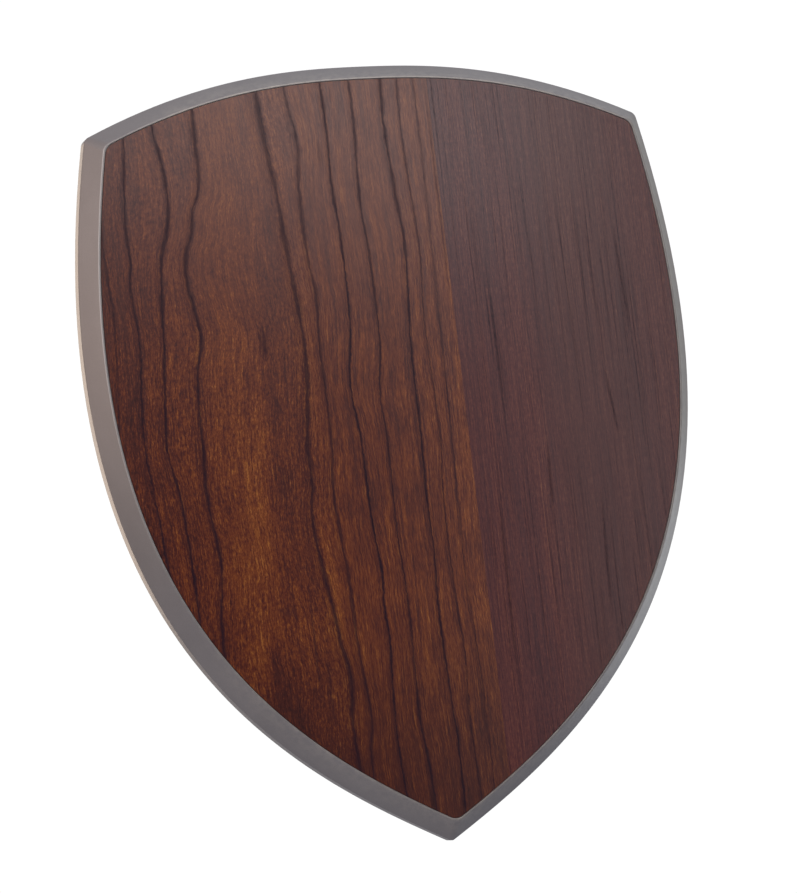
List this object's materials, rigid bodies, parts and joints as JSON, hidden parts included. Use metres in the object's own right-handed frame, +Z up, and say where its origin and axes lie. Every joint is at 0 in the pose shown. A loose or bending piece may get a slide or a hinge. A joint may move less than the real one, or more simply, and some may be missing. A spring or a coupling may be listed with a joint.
{
  "type": "shield-shaped wooden wall plaque",
  "caption": "Wall plaque in the outline of a heater shield: a bevelled painted board faced with two leaves of dark veneer, with a ring hanger and rubber bumpers behind.",
  "frame": {"origin": "the point of the wall hook that carries the raised hanger ring, in the plane of the wall that the bumpers rest on", "axes": "+Z up, +X to the right of someone facing the plaque, +Y into the wall, so the veneered face looks along -Y"},
  "size_m": [0.2068, 0.0166, 0.2538],
  "materials": {
    "rim_paint": "satin pewter-grey metallic paint on fibreboard",
    "crown_cut_veneer": "satin lacquer over dark red-brown veneer with flowing growth lines",
    "quarter_cut_veneer": "satin lacquer over dark red-brown veneer with straight fine streaks",
    "backing_veneer": "plain sanded veneer with a thin matt sealer",
    "plated_steel": "bright zinc plate",
    "rubber": "matt black"
  },
  "bodies": {
    "plaque": {"core_board": "rim_paint", "front_leaf_left": "crown_cut_veneer", "front_leaf_right": "quarter_cut_veneer", "back_sheet": "backing_veneer", "hanger_strap": "plated_steel", "hanger_screw_upper": "plated_steel", "hanger_screw_lower": "plated_steel", "bumper_left": "rubber", "bumper_right": "rubber"},
    "ring": {"hanger_ring": "plated_steel"}
  },
  "joints": [
    {"name": "hanger_ring_swing", "type": "hinge", "parent": "plaque", "child": "ring", "pos_m": [0, -0.00305, -0.0101], "axis": [1, 0, 0], "range_deg": [0, 180]}
  ]
}
